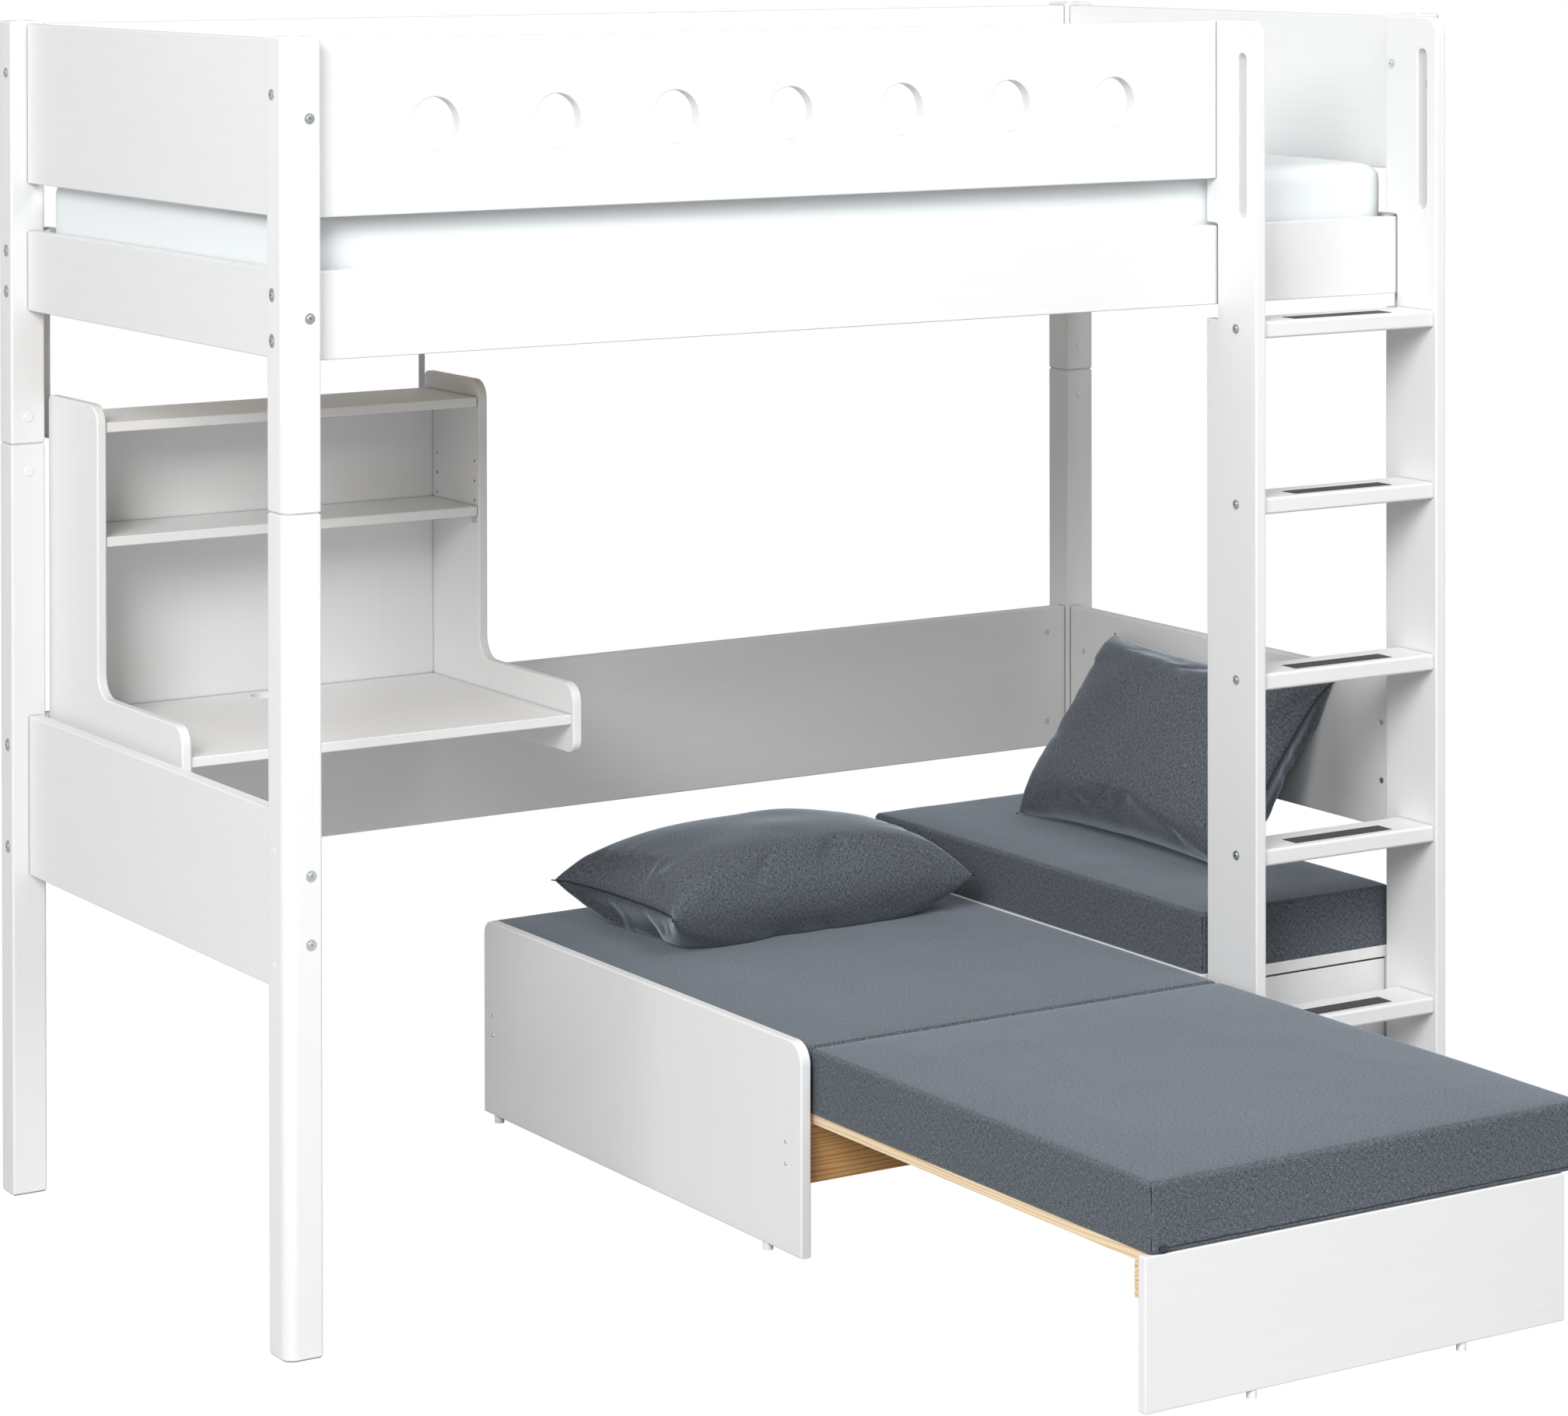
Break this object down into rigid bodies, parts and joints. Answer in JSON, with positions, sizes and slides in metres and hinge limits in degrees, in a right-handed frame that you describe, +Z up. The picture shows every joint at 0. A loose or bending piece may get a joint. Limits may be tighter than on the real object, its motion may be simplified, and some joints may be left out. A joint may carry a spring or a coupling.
{
  "type": "loft bed",
  "caption": "Loft bed on tall square posts with guard boards, a side ladder, a hung desk with shelves and a corner sofa whose seat pulls out into a guest bed.",
  "frame": {"origin": "on the floor, under the middle of the whole outline with the guest bed pulled out", "axes": "+X along the bed from the desk end to the ladder end, +Y from the front to the back, +Z up"},
  "size_m": [2.1056, 1.8628, 1.8466],
  "materials": {
    "white_lacquer": "satin white lacquer on solid board",
    "cap_white": "matt",
    "zinc": "bright zinc",
    "hanger_steel": "dull zinc",
    "zip_metal": "dark",
    "grip_strip": "matt textured",
    "pine": "clear lacquered knotty pine",
    "pine_light": "bare planed pine",
    "glide": "matt",
    "cover_white": "smooth knitted cover",
    "cover_slate": "mottled flat weave"
  },
  "bodies": {
    "bed": {"post_front_left_lower": "white_lacquer", "post_front_left_upper": "white_lacquer", "post_front_right_lower": "white_lacquer", "post_front_right_upper": "white_lacquer", "post_back_left_lower": "white_lacquer", "post_back_left_upper": "white_lacquer", "post_back_right_lower": "white_lacquer", "post_back_right_upper": "white_lacquer", "guard_front": "white_lacquer", "guard_back": "white_lacquer", "guard_left": "white_lacquer", "guard_right": "white_lacquer", "rail_front": "white_lacquer", "rail_back": "white_lacquer", "rail_left": "white_lacquer", "rail_right": "white_lacquer", "panel_back": "white_lacquer", "panel_left": "white_lacquer", "panel_right": "white_lacquer", "ladder_stile_left": "white_lacquer", "ladder_stile_right": "white_lacquer", "rung_1": "white_lacquer", "rung_2": "white_lacquer", "rung_3": "white_lacquer", "rung_4": "white_lacquer", "rung_5": "white_lacquer", "desk_side_left": "white_lacquer", "desk_side_right": "white_lacquer", "desk_top": "white_lacquer", "desk_back": "white_lacquer", "desk_shelf_top": "white_lacquer", "desk_shelf_middle": "white_lacquer", "sofa_armrest": "white_lacquer", "bench_seat": "white_lacquer", "bench_front": "white_lacquer", "bench_sides": "white_lacquer", "post_caps": "cap_white", "bolts_round": "zinc", "bolts_oblong": "zinc", "barrel_nuts": "zinc", "desk_shelf_supports": "zinc", "desk_hangers": "hanger_steel", "grip_strips": "grip_strip", "slat_cleats": "pine_light", "bed_slats": "pine_light", "sofa_cross_boards": "pine", "sofa_slats": "pine_light", "sofa_glides": "glide", "mattress_upper": "cover_white", "mattress_seat": "cover_slate", "bench_cushion": "cover_slate", "pillow_leaning": "cover_slate"},
    "pull_out": {"pull_out_front": "white_lacquer", "pull_out_rail": "pine", "pull_out_slats": "pine_light", "pull_out_batten": "pine_light", "pull_out_glides": "glide"},
    "fold_mattress": {"mattress_fold": "cover_slate"},
    "lying_pillow": {"pillow_lying": "cover_slate"},
    "zip": {"zip_slider": "zip_metal"}
  },
  "joints": [
    {"name": "pull_out_slide", "type": "slide", "parent": "bed", "child": "pull_out", "axis": [0, 1, 0], "range_m": [0, 0.809]},
    {"name": "mattress_fold_hinge", "type": "hinge", "parent": "bed", "child": "fold_mattress", "pos_m": [0.2055, -0.0864, 0.3236], "axis": [-1, 0, 0], "range_deg": [0, 180]},
    {"name": "pillow_moved_aside", "type": "slide", "parent": "bed", "child": "lying_pillow", "axis": [-0.998, 0, 0.0639], "range_m": [0, 0.8]},
    {"name": "zip_slide", "type": "slide", "parent": "fold_mattress", "child": "zip", "axis": [1, 0, 0], "range_m": [0, 0.733]}
  ],
  "couplings": [
    {"joint": "pillow_moved_aside", "follows": "mattress_fold_hinge", "m_per_rad": 0.2546}
  ]
}
